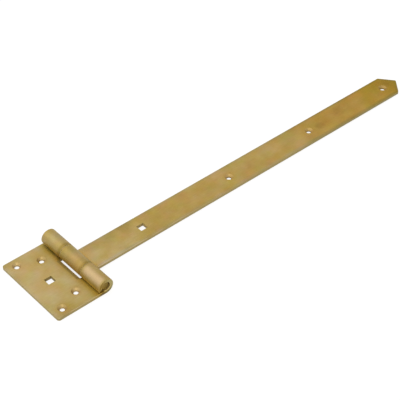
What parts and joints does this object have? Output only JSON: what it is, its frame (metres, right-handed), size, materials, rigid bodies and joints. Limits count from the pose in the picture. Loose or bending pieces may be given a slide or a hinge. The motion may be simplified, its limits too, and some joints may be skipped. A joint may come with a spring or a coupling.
{
  "type": "gate hinge",
  "caption": "T-shaped gate hinge: a rectangular plate leaf and a long pointed strap leaf of rolled steel sheet turn on a plain pin, with countersunk screw holes and square bolt holes.",
  "frame": {"origin": "on the back plane of both leaves, straight under the middle of the pin, where the strap's flat back runs into its knuckle", "axes": "+X from the pin axis along the strap to its point, +Y along the pin, +Z out of the wall or gate, towards the barrel"},
  "size_m": [0.5456, 0.1, 0.0186],
  "materials": {
    "yellow_zinc": "satin zinc plating with a mottled yellow passivation",
    "pin_zinc": "dull zinc plating with a yellow passivation"
  },
  "bodies": {
    "plate": {"plate_leaf": "yellow_zinc", "hinge_pin": "pin_zinc"},
    "strap": {"strap_leaf": "yellow_zinc"}
  },
  "joints": [
    {"name": "pin_hinge", "type": "hinge", "parent": "plate", "child": "strap", "pos_m": [0, 0, 0.0093], "axis": [0, -1, 0], "range_deg": [0, 180]}
  ]
}
